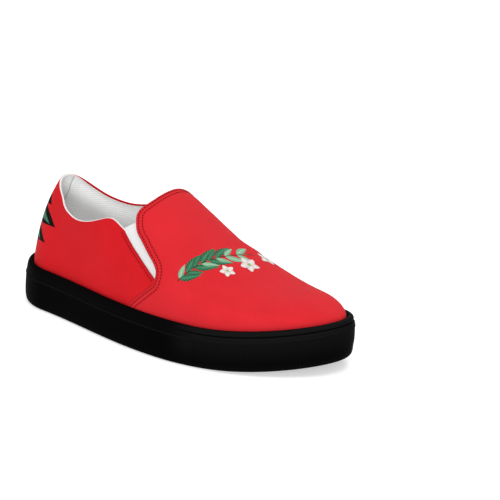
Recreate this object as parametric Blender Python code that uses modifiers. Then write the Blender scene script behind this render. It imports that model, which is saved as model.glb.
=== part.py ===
"""Slip-on canvas shoe for the right foot.

Metres, +Z up, toe towards +X, outer side of the foot towards -Y.
The last, the foot-shaped form inside the shoe, is worked out first.
The upper and the gores grow outward from it, the insole fills its
bottom and the cup sole is swept round its outline.
"""
import bmesh
import bpy
import numpy as np

# Driving dimensions of the sole's outline
LENGTH = 0.292
HEEL_WIDTH = 0.0824
WAIST_WIDTH = 0.0932
BALL_WIDTH = 0.1062
WAIST_BEND = 0.0054
TOE_TURN = 0.0092
TOE_SPRING = 0.0095

# Height of the sole's side wall
WALL_HEEL = 0.0327
WALL_WAIST = 0.0304
WALL_BALL = 0.0294
WALL_TOE = 0.0295

# Height of the upper's ridge line above the floor
HEEL_CROWN = 0.1309
INSTEP_HEIGHT = 0.1075
VAMP_HEIGHT = 0.0868
BALL_HEIGHT = 0.0668
TOE_HEIGHT = 0.0534

# The heel walls lean towards this upright line, and the ridge line keeps
# its sway as far as the instep
CROWN_SETBACK = 0.0575
CROWN_SWAY = 0.0062

# Thicknesses and depths
RIM_WIDTH = 0.0054
CUP_DEPTH = 0.0110
WALL = 0.0020
HEM = 0.0009
GORE_WALL = 0.0014
INSOLE_THICKNESS = 0.0040
INSOLE_BEVEL = 0.0010
CLEARANCE = 0.0003
CURVED_CLEARANCE = 0.0005
TUCK = 0.0015

# Sole outline: station along the foot, width, shift of the middle line
OUTLINE = (
    (0.00, 0.97 * HEEL_WIDTH, 0.00 * WAIST_BEND),
    (0.14, 1.00 * HEEL_WIDTH, 0.00 * WAIST_BEND),
    (0.42, 1.00 * WAIST_WIDTH, -1.20 * WAIST_BEND),
    (0.68, 1.00 * BALL_WIDTH, -0.45 * WAIST_BEND),
    (0.85, 0.93 * BALL_WIDTH, 0.50 * TOE_TURN),
    (1.00, 0.80 * BALL_WIDTH, 1.30 * TOE_TURN),
)
HEEL_ROUND = 0.144
TOE_ROUND_START = 0.70
TOE_ROUND_POWER = 2.5
SPRING_START = 0.68

# Sole wall: station, height
RIM = (
    (0.00, WALL_HEEL),
    (0.35, WALL_WAIST),
    (0.70, WALL_BALL),
    (1.00, WALL_TOE),
)

# Ridge line of the upper: station, height
RIDGE = (
    (0.17, HEEL_CROWN),
    (0.34, 1.16 * INSTEP_HEIGHT),
    (0.47, INSTEP_HEIGHT),
    (0.58, VAMP_HEIGHT),
    (0.70, BALL_HEIGHT),
    (0.82, TOE_HEIGHT),
    (0.92, 0.93 * TOE_HEIGHT),
    (1.00, 0.82 * TOE_HEIGHT),
)
TOE_DROP_START = 0.86
TOE_DROP_POWER = 2.4

# Side walls of the upper, each a curve with two inner handles: station,
# shares of the lean at both handles, shares of the rise at both handles
WALL_FORM = (
    (0.00, 0.055, 0.335, 0.455, 0.680),
    (0.08, 0.200, 0.605, 0.446, 0.680),
    (0.25, 0.020, 0.250, 0.470, 0.720),
    (0.50, -0.034, 0.353, 0.638, 1.000),
)
SWAY_HOLD = 0.46
SWAY_END = 0.64

# Collar edge: station, share of the way up the wall
COLLAR = (
    (0.000, 0.618),
    (0.045, 0.540),
    (0.100, 0.480),
    (0.160, 0.434),
    (0.225, 0.398),
    (0.300, 0.415),
    (0.345, 0.455),
    (0.390, 0.492),
    (0.420, 0.469),
    (0.442, 0.447),
)

CORNER_START = 0.33

# Gore edges from the top down to the tip: station, share up the wall
GORE_REAR = (
    (0.4420, 0.447),
    (0.4640, 0.397),
    (0.4880, 0.352),
    (0.5150, 0.318),
    (0.5390, 0.292),
    (0.5590, 0.267),
    (0.5730, 0.252),
)
GORE_FRONT = (
    (0.4690, 0.540),
    (0.4840, 0.477),
    (0.5080, 0.435),
    (0.5340, 0.398),
    (0.5580, 0.363),
    (0.5720, 0.318),
    (0.5730, 0.252),
)

# Rear edge of the vamp over the instep: share up the wall, station
VAMP_REAR = (
    (0.540, 0.4690),
    (0.595, 0.4610),
    (0.650, 0.4607),
    (0.720, 0.4680),
    (0.830, 0.4750),
    (1.000, 0.4780),
)

# Edge of the vamp over the quarter, from the sole up to the gore's tip
VAMP_FOOT = (
    (0.000, 0.4810),
    (0.053, 0.5062),
    (0.117, 0.5350),
    (0.190, 0.5620),
    (0.225, 0.5715),
    (0.252, 0.5730),
)

# Sole side, from the rim down: share of the wall's height, stand-out
# from the outline in rim widths at heel and waist, and at the toe
SOLE_SIDE = (
    (1.000, -0.60, -0.52),
    (0.965, -0.38, -0.26),
    (0.900, -0.24, -0.13),
    (0.874, -0.20, -0.27),
    (0.845, -0.16, -0.06),
    (0.795, -0.11, 0.05),
    (0.755, -0.07, 0.10),
    (0.728, -0.04, 0.12),
    (0.700, 0.06, 0.11),
    (0.660, 0.04, 0.08),
    (0.430, 0.13, 0.07),
    (0.230, 0.17, -0.06),
    (0.100, 0.10, -0.16),
    (0.030, -0.10, -0.36),
    (0.000, -0.40, -0.62),
)
BUMPER_START = 0.62
BUMPER_END = 0.74

# Mesh density
LOOP_POINTS = 112
HEEL_COLUMNS = 15
CORNER_COLUMNS = 7
TOE_COLUMNS = 19
LOWER_ROWS = (0.0, 0.07, 0.22, 0.38, 0.54, 0.70, 0.85, 1.0)
UPPER_ROWS = 9
GORE_COLUMNS = 4

OUTER = -1
INNER = 1


def curve(table, x, column=1):
    """Natural cubic spline of one column of a table over its first."""
    xs = np.array([row[0] for row in table])
    ys = np.array([row[column] for row in table])
    gap = np.diff(xs)
    count = len(xs)
    system = np.eye(count)
    right = np.zeros(count)
    for i in range(1, count - 1):
        system[i, i - 1:i + 2] = gap[i - 1], 2 * (gap[i - 1] + gap[i]), gap[i]
        right[i] = 6 * ((ys[i + 1] - ys[i]) / gap[i] - (ys[i] - ys[i - 1]) / gap[i - 1])
    bend = np.linalg.solve(system, right)
    i = np.clip(np.searchsorted(xs, x) - 1, 0, count - 2)
    t = np.asarray(x, float) - xs[i]
    slope = (ys[i + 1] - ys[i]) / gap[i] - gap[i] * (2 * bend[i] + bend[i + 1]) / 6
    return ys[i] + t * (slope + t * (bend[i] / 2 + t * (bend[i + 1] - bend[i]) / (6 * gap[i])))


def along(table, t):
    """Points of a two-column table read as one smooth edge, t from 0 to 1."""
    steps = np.linspace(0.0, 1.0, len(table))
    first = curve([(k, row[0]) for k, row in zip(steps, table)], t)
    second = curve([(k, row[1]) for k, row in zip(steps, table)], t)
    return first, second


def smooth(t):
    t = np.clip(t, 0.0, 1.0)
    return t * t * (3.0 - 2.0 * t)


def turn_of(station):
    """Half turn round the loop, 0 at the heel and 1 at the toe."""
    return np.arccos(1.0 - 2.0 * np.clip(station, 0.0, 1.0)) / np.pi


def plan(turn):
    """Point of the sole's outline; negative turns run down the outer side."""
    turn = (np.asarray(turn, float) + 1.0) % 2.0 - 1.0
    station = (1.0 - np.cos(np.pi * np.abs(turn))) / 2.0
    heel = np.clip(1.0 - station / HEEL_ROUND, 0.0, 1.0)
    toe = np.clip((station - TOE_ROUND_START) / (1.0 - TOE_ROUND_START), 0.0, 1.0)
    rounding = np.sqrt(1.0 - heel ** 2) * np.sqrt(1.0 - toe ** TOE_ROUND_POWER)
    half = 0.5 * curve(OUTLINE, station) * rounding
    return np.stack([station * LENGTH, curve(OUTLINE, station, 2) + np.sign(turn) * half], -1)


def outline(turn, inset):
    """Outline moved inward along its own normal."""
    step = 0.0005
    tangent = plan(turn + step) - plan(turn - step)
    tangent /= np.linalg.norm(tangent, axis=-1, keepdims=True)
    normal = np.stack([tangent[..., 1], -tangent[..., 0]], -1)
    return plan(turn) + normal * np.expand_dims(inset, -1)


def bottom_z(x):
    return TOE_SPRING * np.clip((x / LENGTH - SPRING_START) / (1.0 - SPRING_START), 0.0, None) ** 2


def rim_z(x):
    return bottom_z(x) + curve(RIM, np.clip(x / LENGTH, 0.0, 1.0))


def floor_z(x):
    return rim_z(x) - CUP_DEPTH


def ridge_z(x, inset, lift):
    """Height of the ridge line, which falls to the sole at the toe's tip."""
    station = np.clip(x / LENGTH, RIDGE[0][0], 1.0)
    base = rim_z(x) - TUCK
    top = curve(RIDGE, station) - WALL + lift
    tip = 1.0 - inset / LENGTH
    drop = np.clip((x / LENGTH - TOE_DROP_START) / (tip - TOE_DROP_START), 0.0, 1.0)
    return base + (top - base) * np.sqrt(1.0 - drop ** TOE_DROP_POWER)


def skin(side, station, height, lift=0.0):
    """Point of the last at a station and a share of the way up its wall."""
    station, height = np.broadcast_arrays(np.asarray(station, float), np.asarray(height, float))
    inset = RIM_WIDTH + CURVED_CLEARANCE + WALL - lift
    foot = outline(side * turn_of(station), np.full(station.shape, inset))
    x, y = foot[..., 0], foot[..., 1]
    ridge_x = np.maximum(inset + station * (LENGTH - 2 * inset), CROWN_SETBACK)
    sway = CROWN_SWAY * (1.0 - smooth((ridge_x / LENGTH - SWAY_HOLD) / (SWAY_END - SWAY_HOLD)))
    ridge_y = curve(OUTLINE, ridge_x / LENGTH, 2) + sway
    base = rim_z(x) - TUCK
    top = ridge_z(ridge_x, inset, lift)
    first, second, third = 3 * (1 - height) ** 2 * height, 3 * (1 - height) * height ** 2, height ** 3
    handles = [curve(WALL_FORM, np.clip(station, 0.0, WALL_FORM[-1][0]), k) for k in (1, 2, 3, 4)]
    lean, rise = handles[:2], handles[2:]
    inward = first * lean[0] + second * lean[1] + third
    upward = first * rise[0] + second * rise[1] + third
    return np.stack([
        x + (ridge_x - x) * inward,
        y + (ridge_y - y) * inward,
        base + (top - base) * upward,
    ], -1)


def place(points):
    """Move from the heel's back to the middle of the shoe's own box."""
    turns = np.linspace(-1.0, 1.0, 721)
    width = plan(turns)[:, 1]
    middle = np.array([LENGTH / 2, (width.min() + width.max()) / 2, 0.0])
    return points - middle


def add_grid(mesh, points, side, hem=None):
    """Quads over a grid of points, faces outward on either side."""
    layer = mesh.verts.layers.deform.verify()
    rows, columns = points.shape[:2]
    verts = [[mesh.verts.new(points[i, j]) for j in range(columns)] for i in range(rows)]
    if hem is not None:
        for i in range(rows):
            for j in range(columns):
                verts[i][j][layer][0] = float(hem[i, j])
    for i in range(rows - 1):
        for j in range(columns - 1):
            quad = [verts[i][j], verts[i + 1][j], verts[i + 1][j + 1], verts[i][j + 1]]
            mesh.faces.new(quad if side == OUTER else quad[::-1])


def make_object(name, mesh, material, weld=True):
    """Turn a built mesh into a smooth named object."""
    if weld:
        bmesh.ops.remove_doubles(mesh, verts=mesh.verts, dist=0.00002)
    data = bpy.data.meshes.new(name)
    mesh.to_mesh(data)
    mesh.free()
    data.shade_smooth()
    data.set_sharp_from_angle(angle=np.radians(40.0))
    data.materials.append(material)
    item = bpy.data.objects.new(name, data)
    SHOE.objects.link(item)
    return item


def add_wall(item, thickness, inner_share=None):
    """Thicken outward from the last, less where the hem group is empty."""
    wall = item.modifiers.new("wall", "SOLIDIFY")
    wall.thickness = thickness
    wall.offset = 1.0
    if inner_share is not None:
        item.vertex_groups.new(name="hem")
        wall.vertex_group = "hem"
        wall.thickness_vertex_group = inner_share


def lower_columns():
    """Stations of the lower wall's columns and the height of their top."""
    heel_turns = np.linspace(0.0, turn_of(CORNER_START), HEEL_COLUMNS)
    corner = np.linspace(CORNER_START, COLLAR[-1][0], CORNER_COLUMNS)
    heel = np.concatenate([(1.0 - np.cos(np.pi * heel_turns)) / 2.0, corner[1:]])
    gore, gore_top = along(GORE_REAR, np.linspace(0.0, 1.0, len(GORE_REAR)))
    toe = toe_stations()
    stations = np.concatenate([heel, gore[1:], toe])
    tops = np.concatenate([curve(COLLAR, heel), gore_top[1:], np.full(len(toe), GORE_REAR[-1][1])])
    return stations, tops


def toe_stations():
    """Columns in front of the gore's tip; the first one makes the hem's step."""
    tip = GORE_REAR[-1][0]
    turns = np.linspace(turn_of(tip), 1.0, TOE_COLUMNS)[1:]
    return np.concatenate([[tip + 0.0040], (1.0 - np.cos(np.pi * turns)) / 2.0])


def hem_share(station):
    """1 at the vamp's edge, fading forward."""
    start = GORE_REAR[-1][0] + 0.02
    return 1.0 - smooth((station - start) / 0.07)


def slant(station):
    """How far a column follows the vamp's lower edge."""
    tip = GORE_REAR[-1][0]
    reach = np.where(station < tip, 0.32, 0.28)
    return 0.5 + 0.5 * np.cos(np.pi * np.clip((station - tip) / reach, -1.0, 1.0))


def lower_wall(side):
    """Quarter and lower vamp, from the rim up to collar, gore and split."""
    stations, tops = lower_columns()
    tip_station, tip_height = GORE_REAR[-1]
    share = np.array(LOWER_ROWS)[None, :]
    shift = curve(VAMP_FOOT, share * tip_height) - tip_station
    station = stations[:, None] + shift * slant(stations)[:, None]
    points = skin(side, station, share * tops[:, None])
    in_front = (stations > tip_station)[:, None]
    hem = in_front * hem_share(stations)[:, None] * smooth((share - 0.07) / 0.15)
    return station[:, 0], points, hem


def upper_wall(side):
    """Vamp above the gore and the split, up to the ridge line."""
    front, front_height = along(GORE_FRONT, np.linspace(0.0, 1.0, len(GORE_FRONT)))
    toe = toe_stations()
    stations = np.concatenate([front, toe])
    bottoms = np.concatenate([front_height, np.full(len(toe), GORE_FRONT[-1][1])])
    share = np.linspace(0.0, 1.0, UPPER_ROWS)[None, :]
    top_corner = GORE_FRONT[0]
    fade = 1.0 - smooth((stations - top_corner[0]) / 0.08)
    edge = curve(VAMP_REAR, top_corner[1] + share * (1.0 - top_corner[1])) - top_corner[0]
    station = stations[:, None] + edge * fade[:, None]
    height = bottoms[:, None] + (1.0 - bottoms[:, None]) * share
    hem = np.broadcast_to(hem_share(stations)[:, None], height.shape)
    return skin(side, station, height), hem


def cup_wall(side, stations):
    """Straight part of the upper that stands inside the cup of the sole."""
    foot = skin(side, stations, 0.0)
    low = foot.copy()
    low[:, 2] = floor_z(foot[:, 0] + WALL) + CLEARANCE
    return np.stack([low, foot], 1)


def build_upper(material):
    mesh = bmesh.new()
    for side in (OUTER, INNER):
        stations, points, hem = lower_wall(side)
        add_grid(mesh, place(points), side, hem)
        add_grid(mesh, place(cup_wall(side, stations)), side)
        points, hem = upper_wall(side)
        add_grid(mesh, place(points), side, hem)
    item = make_object("upper", mesh, material)
    add_wall(item, WALL + HEM, WALL / (WALL + HEM))
    return item


def build_gore(name, side, material):
    """Elastic panel in the cut-out, a clearance away from both its edges."""
    t = np.linspace(0.0, 1.0, len(GORE_REAR))
    rear = skin(side, *along(GORE_REAR, t))
    front = skin(side, *along(GORE_FRONT, t))
    width = np.linalg.norm(front - rear, axis=1)
    keep = width > 6 * CLEARANCE
    rear_station, rear_height = along(GORE_REAR, t[keep])
    front_station, front_height = along(GORE_FRONT, t[keep])
    margin = (1.6 * CLEARANCE / width[keep])[:, None]
    across = margin + (1.0 - 2.0 * margin) * np.linspace(0.0, 1.0, GORE_COLUMNS)[None, :]
    station = rear_station[:, None] * (1 - across) + front_station[:, None] * across
    height = rear_height[:, None] * (1 - across) + front_height[:, None] * across
    mesh = bmesh.new()
    add_grid(mesh, place(skin(side, station, height)), -side)
    item = make_object(name, mesh, material)
    add_wall(item, GORE_WALL)
    return item


def ring(inset, height, turns):
    """Loop of points at an inset from the outline; height is a function of x."""
    flat = outline(turns, inset)
    return np.column_stack([flat, height(flat[:, 0])])


def loft(mesh, rings):
    """Closed body through loops of points, capped by ladders of quads."""
    count = len(rings[0])
    verts = [[mesh.verts.new(p) for p in loop] for loop in rings]
    for low, high in zip(verts, verts[1:]):
        for i in range(count):
            j = (i + 1) % count
            mesh.faces.new([low[i], low[j], high[j], high[i]])
    for loop, first in ((verts[0], False), (verts[-1], True)):
        for i in range(count // 2):
            rung = [loop[i], loop[i + 1], loop[(count - i - 1) % count], loop[(count - i) % count]]
            rung = list(dict.fromkeys(rung))
            mesh.faces.new(rung if first else rung[::-1])
    bmesh.ops.recalc_face_normals(mesh, faces=mesh.faces)


def loop_turns():
    """Turns round the whole outline from the heel, along the inner side first."""
    return np.arange(LOOP_POINTS) * 2.0 / LOOP_POINTS


def build_outsole(material):
    """Cup sole: flat bottom, ribbed side wall, bead, rim and cup floor."""
    turns = loop_turns()
    station = plan(turns)[:, 0] / LENGTH
    toe = smooth((station - BUMPER_START) / (BUMPER_END - BUMPER_START))
    rings = []
    for share, at_heel, at_toe in reversed(SOLE_SIDE):
        inset = -RIM_WIDTH * (at_heel + (at_toe - at_heel) * toe)
        rings.append(ring(inset, lambda x, s=share: bottom_z(x) + s * (rim_z(x) - bottom_z(x)), turns))
    inner = np.full(LOOP_POINTS, RIM_WIDTH)
    rings.append(ring(inner, rim_z, turns))
    rings.append(ring(inner, floor_z, turns))
    mesh = bmesh.new()
    loft(mesh, [place(loop) for loop in rings])
    return make_object("outsole", mesh, material, weld=False)


def build_insole(material):
    """Footbed on the floor of the cup, inside the upper's wall."""
    turns = loop_turns()
    edge = RIM_WIDTH + WALL + 2 * CURVED_CLEARANCE
    levels = ((0.0, 0.0), (0.0, 0.7), (INSOLE_BEVEL, 1.0))
    rings = []
    for extra, share in levels:
        inset = np.full(LOOP_POINTS, edge + extra)
        rings.append(ring(inset, lambda x, s=share: floor_z(x) + CLEARANCE + s * INSOLE_THICKNESS, turns))
    mesh = bmesh.new()
    loft(mesh, [place(loop) for loop in rings])
    return make_object("insole", mesh, material, weld=False)


def make_material(name, color, roughness):
    material = bpy.data.materials.new(name)
    material.use_nodes = True
    shader = material.node_tree.nodes["Principled BSDF"]
    shader.inputs["Base Color"].default_value = (*color, 1.0)
    shader.inputs["Roughness"].default_value = roughness
    shader.inputs["Metallic"].default_value = 0.0
    return material


for old in list(bpy.data.objects):
    bpy.data.objects.remove(old, do_unlink=True)

SHOE = bpy.data.collections.new("slip_on_shoe")
bpy.context.scene.collection.children.link(SHOE)

CANVAS = make_material("canvas", (0.75, 0.03, 0.04), 0.85)
ELASTIC = make_material("elastic", (0.80, 0.80, 0.80), 0.80)
LINING = make_material("lining", (0.72, 0.72, 0.71), 0.90)
RUBBER = make_material("rubber", (0.004, 0.004, 0.004), 0.55)

build_outsole(RUBBER)
build_insole(LINING)
build_upper(CANVAS)
build_gore("gore_outer", OUTER, ELASTIC)
build_gore("gore_inner", INNER, ELASTIC)
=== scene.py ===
import bpy
import numpy as np
from mathutils import Matrix, Vector


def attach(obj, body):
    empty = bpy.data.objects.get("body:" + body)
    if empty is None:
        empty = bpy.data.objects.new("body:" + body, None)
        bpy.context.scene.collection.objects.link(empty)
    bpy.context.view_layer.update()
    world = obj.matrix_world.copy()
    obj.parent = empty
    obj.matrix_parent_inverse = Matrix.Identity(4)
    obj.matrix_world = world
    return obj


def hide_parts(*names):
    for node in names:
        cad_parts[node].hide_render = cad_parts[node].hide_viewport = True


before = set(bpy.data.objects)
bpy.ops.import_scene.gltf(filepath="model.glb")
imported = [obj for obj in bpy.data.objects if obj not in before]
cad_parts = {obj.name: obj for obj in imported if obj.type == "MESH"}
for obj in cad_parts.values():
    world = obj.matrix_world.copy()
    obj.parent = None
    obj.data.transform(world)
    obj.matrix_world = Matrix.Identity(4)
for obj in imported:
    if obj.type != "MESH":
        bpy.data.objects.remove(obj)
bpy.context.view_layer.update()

# Sizes of the shoe, in metres, as in its solids
LENGTH = 0.292
HEEL_WIDTH = 0.0824
WAIST_WIDTH = 0.0932
BALL_WIDTH = 0.1062
WAIST_BEND = 0.0054
TOE_TURN = 0.0092
TOE_SPRING = 0.0095
HEEL_CROWN = 0.1309
INSTEP_HEIGHT = 0.1075
VAMP_HEIGHT = 0.0868
BALL_HEIGHT = 0.0668
TOE_HEIGHT = 0.0534
CROWN_SETBACK = 0.0575
CROWN_SWAY = 0.0062
RIM_WIDTH = 0.0054
CUP_DEPTH = 0.0110
WALL = 0.0020
HEM = 0.0009
INSOLE_THICKNESS = 0.0040
CLEARANCE = 0.0003
CURVED_CLEARANCE = 0.0005
TUCK = 0.0015

OUTLINE = (
    (0.00, 0.97 * HEEL_WIDTH, 0.0),
    (0.14, HEEL_WIDTH, 0.0),
    (0.42, WAIST_WIDTH, -1.20 * WAIST_BEND),
    (0.68, BALL_WIDTH, -0.45 * WAIST_BEND),
    (0.85, 0.93 * BALL_WIDTH, 0.50 * TOE_TURN),
    (1.00, 0.80 * BALL_WIDTH, 1.30 * TOE_TURN),
)
HEEL_ROUND = 0.144
TOE_ROUND_START = 0.70
TOE_ROUND_POWER = 2.5
SPRING_START = 0.68
RIM = ((0.00, 0.0327), (0.35, 0.0304), (0.70, 0.0294), (1.00, 0.0295))
RIDGE = (
    (0.17, HEEL_CROWN), (0.34, 1.16 * INSTEP_HEIGHT), (0.47, INSTEP_HEIGHT), (0.58, VAMP_HEIGHT),
    (0.70, BALL_HEIGHT), (0.82, TOE_HEIGHT), (0.92, 0.93 * TOE_HEIGHT), (1.00, 0.82 * TOE_HEIGHT),
)
TOE_DROP_START = 0.86
TOE_DROP_POWER = 2.4
WALL_FORM = (
    (0.00, 0.055, 0.335, 0.455, 0.680),
    (0.08, 0.200, 0.605, 0.446, 0.680),
    (0.25, 0.020, 0.250, 0.470, 0.720),
    (0.50, -0.034, 0.353, 0.638, 1.000),
)
SWAY_HOLD = 0.46
SWAY_END = 0.64
COLLAR = (
    (0.000, 0.618), (0.045, 0.54), (0.1, 0.48), (0.16, 0.434), (0.225, 0.398), (0.3, 0.415),
    (0.345, 0.455), (0.39, 0.492), (0.42, 0.469), (0.442, 0.447),
)
GORE_REAR = (
    (0.442, 0.447), (0.464, 0.397), (0.488, 0.352), (0.515, 0.318), (0.539, 0.292),
    (0.559, 0.267), (0.573, 0.252),
)
GORE_FRONT = (
    (0.469, 0.54), (0.484, 0.477), (0.508, 0.435), (0.534, 0.398), (0.558, 0.363),
    (0.572, 0.318), (0.573, 0.252),
)
VAMP_REAR = (
    (0.54, 0.469), (0.595, 0.461), (0.65, 0.4607), (0.72, 0.468), (0.83, 0.475),
    (1.000, 0.478),
)
VAMP_FOOT = (
    (0.000, 0.481), (0.053, 0.5062), (0.117, 0.535), (0.19, 0.562), (0.225, 0.5715),
    (0.252, 0.573),
)
TIP_STATION, TIP_HEIGHT = GORE_REAR[-1]

# Side of the sole from the rim down: share of its height, stand-out in
# rim widths at heel and waist, and at the toe
SOLE_SIDE = (
    (1.000, -0.66, -0.60), (0.985, -0.48, -0.36), (0.955, -0.35, -0.20), (0.920, -0.27, -0.12),
    (0.895, -0.23, -0.15), (0.882, -0.21, -0.24), (0.873, -0.20, -0.28), (0.862, -0.18, -0.20),
    (0.840, -0.15, -0.05), (0.805, -0.12, 0.05), (0.785, -0.10, 0.04), (0.755, -0.07, 0.10),
    (0.728, -0.05, 0.12), (0.712, 0.02, 0.12), (0.700, 0.06, 0.11), (0.660, 0.04, 0.08),
    (0.430, 0.13, 0.07), (0.230, 0.17, -0.06), (0.100, 0.10, -0.16), (0.030, -0.10, -0.36),
    (0.000, -0.40, -0.62),
)
BUMPER_START = 0.62
BUMPER_END = 0.74

# Steps from the sole's side to the recess underneath: inset, rise
UNDERSIDE_STEPS = ((0.0095, 0.0), (0.0099, 0.0002), (0.0102, 0.0016))
LUG_RADIUS = 0.0042
LUG_PITCH = 0.0094
LUG_MARGIN = 0.0006
LUG_RINGS = ((LUG_RADIUS, 0.0018), (LUG_RADIUS, 0.0004), (LUG_RADIUS - 0.0005, 0.0))

# Layers of the upper, measured outward from the foot
LINING_OUTER = 0.0005
VAMP_LINING_LAYER = (0.00055, 0.0011)
GORE_LAYER = (0.00055, 0.00115)
CANVAS_INNER = 0.0012
# Depth of the quarters under the vamp, and thickness of the footbed
CANVAS_DIP = 0.0007
FOOTBED_SHEET = 0.0030
# Metres for a whole share up the wall under its foot, and share at which the
# linings start
DEPTH_BELOW = 0.1
LINING_FOOT = -0.055
# Signs of turns on the two sides
OUTER = -1
INNER = 1
TINY = 1e-12

# Soft rises and hollows of the canvas: rise, station at the foot and its
# reach, share up the wall and its reach, slant towards the heel
VAMP_RELIEF = (
    (-0.0007, 0.625, 0.035, 0.42, 0.34, 0.00),
    (0.0005, 0.665, 0.030, 0.48, 0.34, 0.00),
    (-0.0005, 0.705, 0.020, 0.30, 0.26, 0.06),
    (0.0004, 0.760, 0.070, 0.25, 0.30, 0.00),
)
VAMP_SIDE_SHARE = 0.15
TOE_RELIEF = ((-0.0003, 0.860, 0.050, 0.90, 0.50, 0.00),)
QUARTER_RELIEF = (
    (-0.0008, 0.300, 0.110, 0.20, 0.22, 0.00),
    (0.0006, 0.090, 0.070, 0.18, 0.20, 0.00),
    (-0.0005, 0.520, 0.025, 0.17, 0.16, 0.25),
    (0.0004, 0.480, 0.025, 0.20, 0.20, 0.35),
)

# Stitches: length of each, gap, rise along it, half width and half height of
# the thread, distances of the rows from the edges
STITCH = 0.0011
STITCH_GAP = 0.0012
STITCH_RISE = (-0.00022, 0.00006, 0.00013, 0.00006, -0.00022)
THREAD = (0.00044, 0.00028)
VAMP_ROWS = (0.0016, 0.0045)
QUARTER_ROW = 0.0022
# Steps along a row, and the length over which its corners are rounded
ROW_STEP = 0.0001
ROW_ROUNDING = 0.0012

# Pitches of the cloths and of the sole's pattern
CANVAS_PITCH = 0.00075
LINING_PITCH = 0.0016
BINDING_PITCH = 0.0009
WEBBING_RIB = 0.0011
WEBBING_CROSS = 0.0008
FOOTBED_PITCH = 0.0011
HATCH_PITCH = 0.0024
# Canvas: width of the painted shade line at a fold and along the seams, depth and strength of its relief
FOLD = 0.0009
CANVAS_RELIEF = (0.00016, 0.75)

# Colours of canvas and print: the main one, a darker one, and that of a rib
QUARTER_RED = ((0.54, 0.0088, 0.0138), (0.45, 0.0068, 0.0106))
# The vamp's red is the quarters' canvas made whiter in green and blue, a painted sheen of the light falling
# on the vamp
VAMP_RED_PAINTED_SHEEN = ((0.555, 0.0185, 0.0250), (0.475, 0.0140, 0.0195))
INK_BLACK = ((0.0030, 0.0030, 0.0036), (0.0012, 0.0012, 0.0016))
LEAF_GREEN = ((0.017, 0.125, 0.058), (0.003, 0.028, 0.012), (0.075, 0.27, 0.145))
PALE_GREEN = ((0.15, 0.36, 0.22), (0.06, 0.21, 0.11), (0.42, 0.55, 0.42))
PETAL_WHITE = ((0.60, 0.575, 0.56), (0.48, 0.40, 0.38), (0.64, 0.61, 0.59))
CORE_YELLOW = ((0.25, 0.34, 0.10), (0.12, 0.20, 0.05), (0.60, 0.55, 0.20))
# Single colours, among them the painted shade of the canvas at seams and folds, and the thread's two tones,
# dark red darkened further as painted shade of its stitch holes
SEAM_SHADE_RED = (0.22, 0.003, 0.005)
FOLD_SHADE_RED = (0.20, 0.003, 0.005)
WHITE = (1.0, 1.0, 1.0)
THREAD_RED_SHADED = ((0.12, 0.0012, 0.0024), (0.20, 0.0025, 0.0045))

# Stem of the leaf spray: share of its length, station, share up the wall,
# over 1 on the inner side
STEM = (
    (0.00, 0.636, 0.36), (0.22, 0.655, 0.53), (0.45, 0.669, 0.70), (0.68, 0.682, 0.86),
    (0.85, 0.694, 1.02), (1.00, 0.702, 1.20),
)
# Leaf and smaller leaf of each pair: turn from the stem in degrees, scale,
# width, bend, and which pairs have it dark
LEAVES = ((40.0, 1.0, 0.0056, -0.18, range(6)), (-46.0, 0.72, 0.0042, 0.15, (1, 2, 4)))
# Blossoms: station, share up the wall, petal length, turn in degrees
BLOSSOMS = ((0.712, 1.36, 0.0078, 8.0), (0.733, 1.03, 0.0080, 40.0), (0.722, 0.78, 0.0058, 20.0))
# Heel's shapes: share up the wall, reach to each side, width
HEEL_SHAPES = ((0.200, 0.040, 0.0125), (0.325, 0.043, 0.0145), (0.450, 0.022, 0.0105))
# Height of the print over the canvas, and of each layer of it over the last
INK_GAP = 0.00005
INK_STEP = 0.00003
HEEL_INK_STEP = 0.00004

# Lights: name, place, aim, size, power
LIGHTS = (
    ("overhead", (0.8, -0.6, 4.0), (0.0, 0.0, 0.0), 3.6, 107.0),
    ("behind", (-1.2, 2.6, 2.4), (0.0, 0.0, 0.05), 1.6, 40.0),
    ("key", (1.8, -2.7, 1.1), (0.0, 0.0, 0.05), 2.2, 62.0),
)
SKY_STRENGTH = 0.55
FLOOR_SIZE = 9.0
FLOOR_GREYS = ((0.62, 0.62, 0.62), (0.64, 0.64, 0.64))
FLOOR_GLOW = 0.50

# Camera: azimuth, elevation and roll in degrees, the point of the shoe it
# looks past, its distance and its shift to the right and up
CAMERA_ANGLES = (40.064, 17.006, 1.044)
CAMERA_AIM = (0.146, 0.0, 0.040)
CAMERA_DISTANCE = 1.31947
CAMERA_SHIFT = (0.051841, 0.020165)
CAMERA_LENS = 129.6


def curve(table, x, column=1):
    """Natural cubic spline of one column of a table over its first."""
    xs = np.array([row[0] for row in table])
    ys = np.array([row[column] for row in table])
    gap = np.diff(xs)
    count = len(xs)
    system = np.eye(count)
    right = np.zeros(count)
    for i in range(1, count - 1):
        system[i, i - 1:i + 2] = gap[i - 1], 2 * (gap[i - 1] + gap[i]), gap[i]
        right[i] = 6 * ((ys[i + 1] - ys[i]) / gap[i] - (ys[i] - ys[i - 1]) / gap[i - 1])
    bend = np.linalg.solve(system, right)
    i = np.clip(np.searchsorted(xs, x) - 1, 0, count - 2)
    t = np.asarray(x, float) - xs[i]
    slope = (ys[i + 1] - ys[i]) / gap[i] - gap[i] * (2 * bend[i] + bend[i + 1]) / 6
    return ys[i] + t * (slope + t * (bend[i] / 2 + t * (bend[i + 1] - bend[i]) / (6 * gap[i])))


def along(table, t):
    """Every column of a table read as one smooth line, t from 0 to 1."""
    steps = shares(len(table))
    columns = range(len(table[0]))
    return [curve([(k, row[c]) for k, row in zip(steps, table)], t) for c in columns]


def shares(count):
    """Even steps from 0 to 1."""
    return np.linspace(0.0, 1.0, count)


def smooth(t):
    t = np.clip(t, 0.0, 1.0)
    return t * t * (3.0 - 2.0 * t)


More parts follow.
